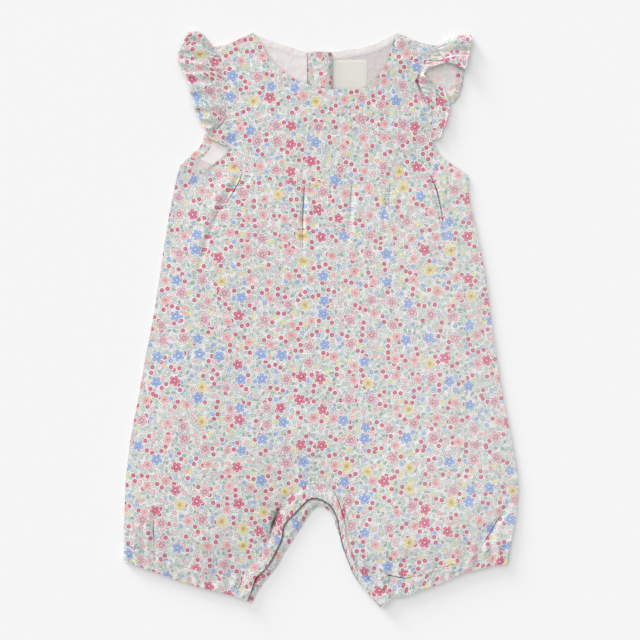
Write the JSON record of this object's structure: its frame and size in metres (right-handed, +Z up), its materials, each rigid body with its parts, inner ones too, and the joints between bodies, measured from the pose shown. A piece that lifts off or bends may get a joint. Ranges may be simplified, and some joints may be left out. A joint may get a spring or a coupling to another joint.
{
  "type": "baby romper",
  "caption": "Short baby romper in floral printed cotton, laid flat: gathered flutter sleeves, round neck, pleats under the bust, elastic cuffs and a buttoned back.",
  "frame": {"origin": "centre of the bounding box on the surface the romper lies on", "axes": "+X to the right of the picture (the wearer's left), +Y from the cuffs to the neck, +Z up from the surface, out of the front"},
  "size_m": [0.3082, 0.4502, 0.0071],
  "materials": {
    "print": "matt printed cotton",
    "plain": "matt, the pale inner side of the printed cotton",
    "label": "matt woven label",
    "button": "glossy",
    "popper": "satin"
  },
  "bodies": {
    "root": {"back_lower": "print", "back_bodice_left": "plain", "back_bodice_right": "plain", "leg_band_back": "print", "neck_facing_left": "plain", "neck_facing_right": "plain", "armhole_facing_left": "print", "button_band_over": "print", "button_band_under": "print", "label": "label", "button_1": "button", "button_2": "button", "button_3": "button", "popper_1": "popper", "popper_2": "popper", "popper_3": "popper", "popper_4": "popper", "popper_5": "popper", "popper_6": "popper", "popper_7": "popper", "leg_band_front": "print", "front_lower": "print", "front_bodice": "print", "sleeve_left": "print", "sleeve_right": "print", "cuff_left": "print", "cuff_right": "print"}
  },
  "joints": []
}
